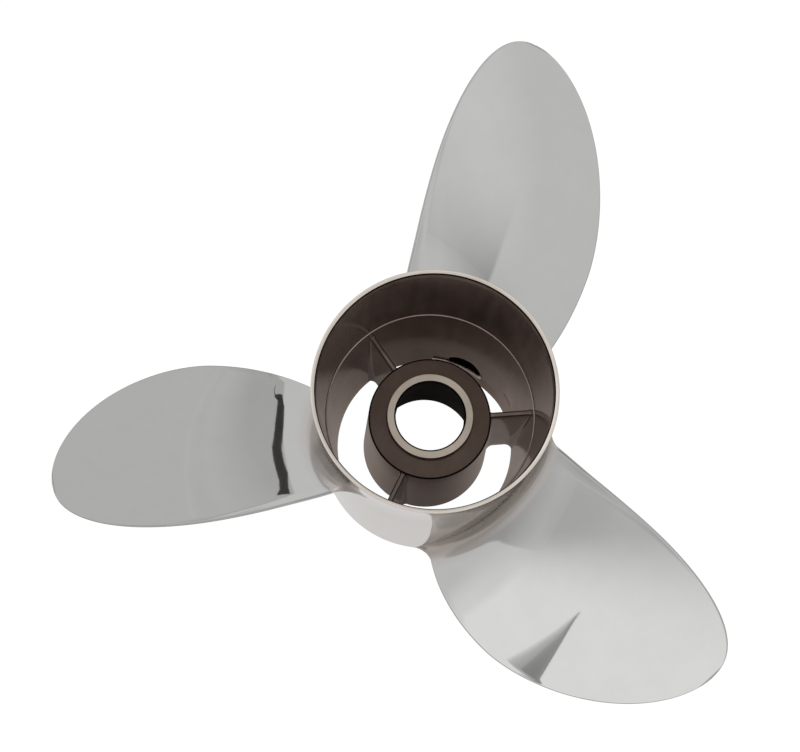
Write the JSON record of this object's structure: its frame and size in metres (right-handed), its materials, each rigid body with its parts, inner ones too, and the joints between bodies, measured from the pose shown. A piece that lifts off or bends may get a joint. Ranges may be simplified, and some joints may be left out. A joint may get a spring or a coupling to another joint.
{
  "type": "outboard propeller",
  "caption": "Polished stainless three-blade outboard propeller: raked, cupped blades on a flared barrel with exhaust passages round its inner hub.",
  "frame": {"origin": "on the shaft axis, in the plane of the barrel's fore end, which the propeller stands on", "axes": "+Z along the shaft axis, aft, so the open tail is up; +X along the middle of the first rib"},
  "size_m": [0.2968, 0.3136, 0.1415],
  "materials": {
    "polished_steel": "mirror polished stainless",
    "barrel_steel": "polished outside, bare casting inside",
    "cast_steel": "bare stainless casting, semi-gloss brown"
  },
  "bodies": {
    "root": {"hub_barrel": "barrel_steel", "inner_hub": "cast_steel", "rib_1": "cast_steel", "rib_2": "cast_steel", "rib_3": "cast_steel", "blade_1": "polished_steel", "blade_2": "polished_steel", "blade_3": "polished_steel"}
  },
  "joints": []
}
